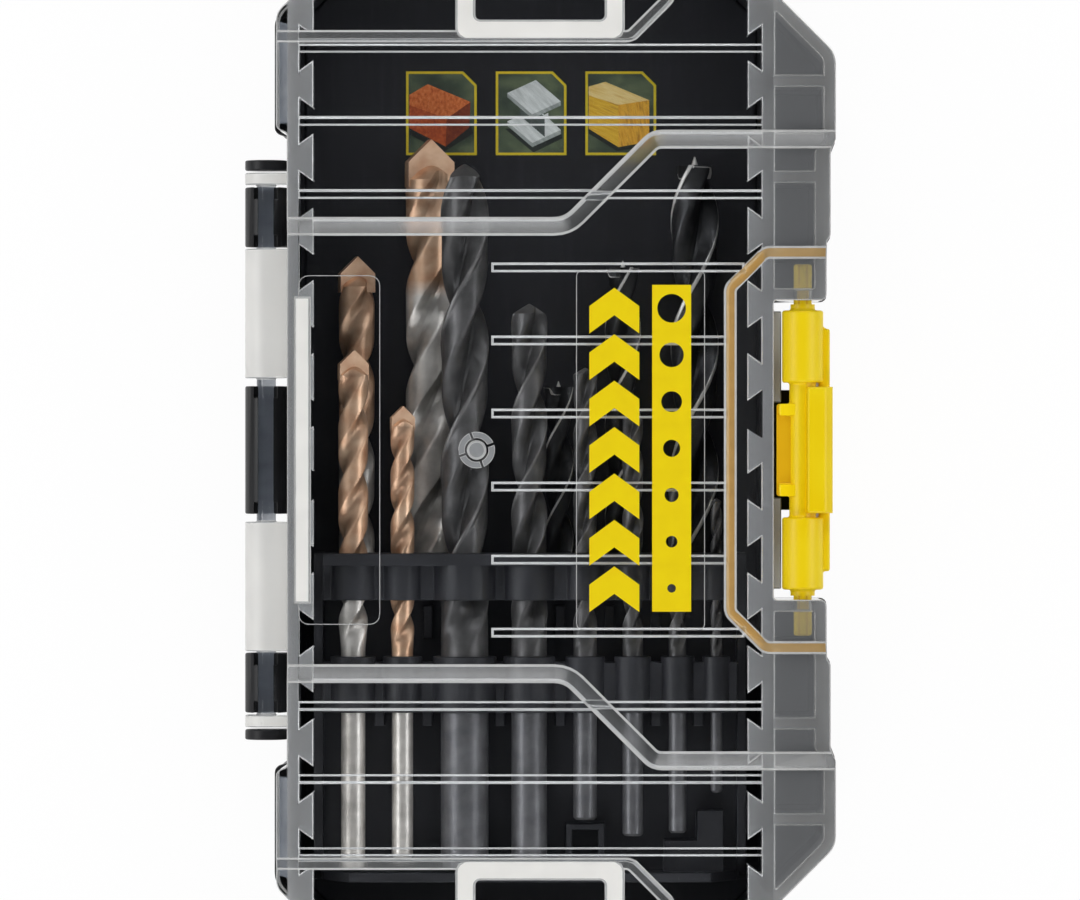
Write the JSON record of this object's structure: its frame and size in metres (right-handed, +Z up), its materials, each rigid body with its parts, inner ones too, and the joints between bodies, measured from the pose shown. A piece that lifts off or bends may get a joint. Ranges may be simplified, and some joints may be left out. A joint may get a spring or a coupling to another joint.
{
  "type": "drill bit case",
  "caption": "Flat plastic drill bit case with a clear hinged lid, a front snap latch and a tilting rack of masonry, metal and wood bits.",
  "frame": {"origin": "middle of the flat underside of the closed case, on the surface that it lies on", "axes": "+X from the hinge to the latch, +Y along the case towards the bit tips, +Z up through the lid"},
  "size_m": [0.098, 0.168, 0.038],
  "materials": {
    "black_plastic": "fine textured black polypropylene",
    "clear_plastic": "clear polycarbonate, polished",
    "yellow_plastic": "satin yellow moulding",
    "printed_card": "satin black print",
    "rack_plastic": "dark grey polypropylene",
    "bronze_steel": "bronze coated flutes, bright shank",
    "dark_steel": "steam-tempered steel",
    "black_steel": "black oxide steel"
  },
  "bodies": {
    "base": {"base_shell": "black_plastic", "card_insert": "printed_card"},
    "lid": {"lid_shell": "clear_plastic"},
    "latch": {"latch": "yellow_plastic"},
    "rack": {"rack_frame": "rack_plastic", "lower_rack": "rack_plastic", "masonry_bit_5mm": "bronze_steel", "masonry_bit_4mm": "bronze_steel", "metal_bit_8mm": "dark_steel", "metal_bit_6mm": "dark_steel", "metal_bit_4mm": "dark_steel", "metal_bit_3_5mm": "dark_steel", "metal_bit_3mm": "dark_steel", "metal_bit_2mm": "dark_steel", "masonry_bit_6mm": "bronze_steel", "masonry_bit_8mm": "bronze_steel", "wood_bit_5mm": "black_steel", "wood_bit_6mm": "black_steel", "wood_bit_8mm": "black_steel"}
  },
  "joints": [
    {"name": "lid_hinge", "type": "hinge", "parent": "base", "child": "lid", "pos_m": [-0.0455, 0, 0.02], "axis": [0, -1, 0], "range_deg": [0, 180]},
    {"name": "latch_pivot", "type": "hinge", "parent": "lid", "child": "latch", "pos_m": [0.0433, 0, 0.0305], "axis": [0, -1, 0], "range_deg": [0, 100]},
    {"name": "rack_tilt", "type": "hinge", "parent": "base", "child": "rack", "pos_m": [0, -0.069, 0.008], "axis": [1, 0, 0], "range_deg": [0, 30]}
  ],
  "couplings": [
    {"joint": "rack_tilt", "follows": "lid_hinge", "ratio": 0.1666}
  ]
}
